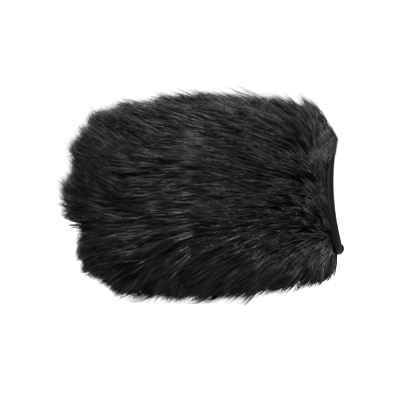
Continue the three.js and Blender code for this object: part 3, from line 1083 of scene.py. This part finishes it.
def build_tag():
    """A short woven tape, folded back on itself and sewn into the end seam, with nothing on it."""
    look = material("woven_tape", (0.12, 0.008, 0.004), (0.32, 0.03, 0.012), "rib", 700, 0.55, 0.5, 0.1)
    tag_low, tag_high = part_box("side_tag")
    base = np.array([tag_high.x, tag_high.y])
    tip = np.array([tag_low.x, tag_low.y])
    way = unit(tip - base)
    off = np.array([-way[1], way[0]])
    length = np.linalg.norm(tip - base) * TAG_SHARE
    path = tag_line(length)
    normal = unit(np.stack([np.gradient(path[:, 1]), -np.gradient(path[:, 0])], -1))
    level = np.linspace(tag_low.z, tag_high.z, TAG_LEVELS)
    lean = np.cos(np.linspace(0, 2, TAG_LEVELS))[None]
    flutter = FLUTTER * np.sin(path[:, 0] / length * 2.6)[:, None] * lean

    def face(offset):
        flat = path + normal * offset
        along, aside = flat[:, :1] + 0 * flutter, flat[:, 1:] + flutter
        x = base[0] + along * way[0] + aside * off[0]
        y = base[1] + along * way[1] + aside * off[1]
        return np.stack([x, y, level[None] + 0 * x], -1)

    tag = sheet("tag_tape", face(TAPE_HALF), face(-TAPE_HALF))
    finish_fixed(tag, look, "tag", "side_tag")


# ---- The pieces --------------------------------------------------------------------------------

binding_cloth = material(
    "stretch_binding", (0.001, 0.001, 0.0011), (0.0045, 0.0045, 0.0048), "rib", 420, 0.55, 0.5, 0.15, 0.05
)
cord_braid = material("cord_braid", (0.01, 0.01, 0.01), (0.03, 0.03, 0.03), "diagonal", 600, 0.8)
twisted_thread = material(
    "twisted_thread", (0.008, 0.008, 0.009), (0.03, 0.03, 0.032), "diagonal", 1500, 0.5
)
build_pile()
build_backing()
build_foam()
build_lining()
build_seams(twisted_thread)
build_hem(binding_cloth, cord_braid, twisted_thread)
build_lump(binding_cloth)
build_bar_tack(twisted_thread)
finish(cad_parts["elastic_join"], cord_braid, "elastic")
build_tag()


# ---- Studio ------------------------------------------------------------------------------------

SKY_LIGHT = 0.08
LENS = 120
AZIMUTH = math.radians(7)
ELEVATION = math.radians(3)
VIEW_WIDTH = 212 * MM

# Each light's name, place, size and power.
LIGHTS = (
    ("key", (0.4, -0.65, 0.55), 0.22, 27),
    ("top", (-0.1, 0.0, 0.8), 0.5, 5),
    ("back", (-0.1, 0.7, 0.4), 0.6, 4.5),
    ("fill", (-0.6, -0.55, 0.25), 0.3, 3),
)


def build_floor():
    """A plain pale floor that shows as white to the camera."""
    bpy.ops.mesh.primitive_plane_add(size=6, location=(0, 0, FLOOR_Z))
    floor = bpy.context.object
    floor.name = "floor"
    look, nodes, links, shader = new_material("floor")
    shader.inputs["Base Color"].default_value = (0.35, 0.35, 0.35, 1)
    shader.inputs["Roughness"].default_value = 0.9
    shader.inputs["Specular IOR Level"].default_value = 0
    shader.inputs["Emission Color"].default_value = (1, 1, 1, 1)
    seen = nodes.new("ShaderNodeLightPath")
    links.new(seen.outputs["Is Camera Ray"], shader.inputs["Emission Strength"])
    floor.data.materials.append(look)


def build_sky():
    """A weak, even light all round that shows as white to the camera."""
    world = bpy.data.worlds.new("studio")
    world.use_nodes = True
    nodes, links = world.node_tree.nodes, world.node_tree.links
    seen = nodes.new("ShaderNodeLightPath")
    level = nodes.new("ShaderNodeMapRange")
    level.inputs["To Min"].default_value = SKY_LIGHT
    level.inputs["To Max"].default_value = 1.0
    links.new(seen.outputs["Is Camera Ray"], level.inputs["Value"])
    nodes["Background"].inputs["Color"].default_value = (1, 1, 1, 1)
    links.new(level.outputs["Result"], nodes["Background"].inputs["Strength"])
    bpy.context.scene.world = world


def area_light(name, place, size, power):
    light = bpy.data.lights.new(name, "AREA")
    light.size = size
    light.energy = power
    obj = add_object(name, light)
    obj.location = place
    towards = Vector((0, 0, AXIS_Z)) - Vector(place)
    obj.rotation_euler = towards.to_track_quat("-Z", "Y").to_euler()


def build_camera():
    data = bpy.data.cameras.new("camera")
    data.lens = LENS
    obj = add_object("camera", data)
    level = math.cos(ELEVATION)
    away = Vector((math.sin(AZIMUTH) * level, -math.cos(AZIMUTH) * level, math.sin(ELEVATION)))
    target = Vector((-0.8 * MM, 0, AXIS_Z - 2.1 * MM))
    obj.location = target + away * (VIEW_WIDTH * LENS / data.sensor_width)
    obj.rotation_euler = (-away).to_track_quat("-Z", "Y").to_euler()
    bpy.context.scene.camera = obj


build_floor()
build_sky()
for light_settings in LIGHTS:
    area_light(*light_settings)
build_camera()
bpy.context.scene.view_settings.view_transform = "Standard"
bpy.context.scene.cycles.use_denoising = True
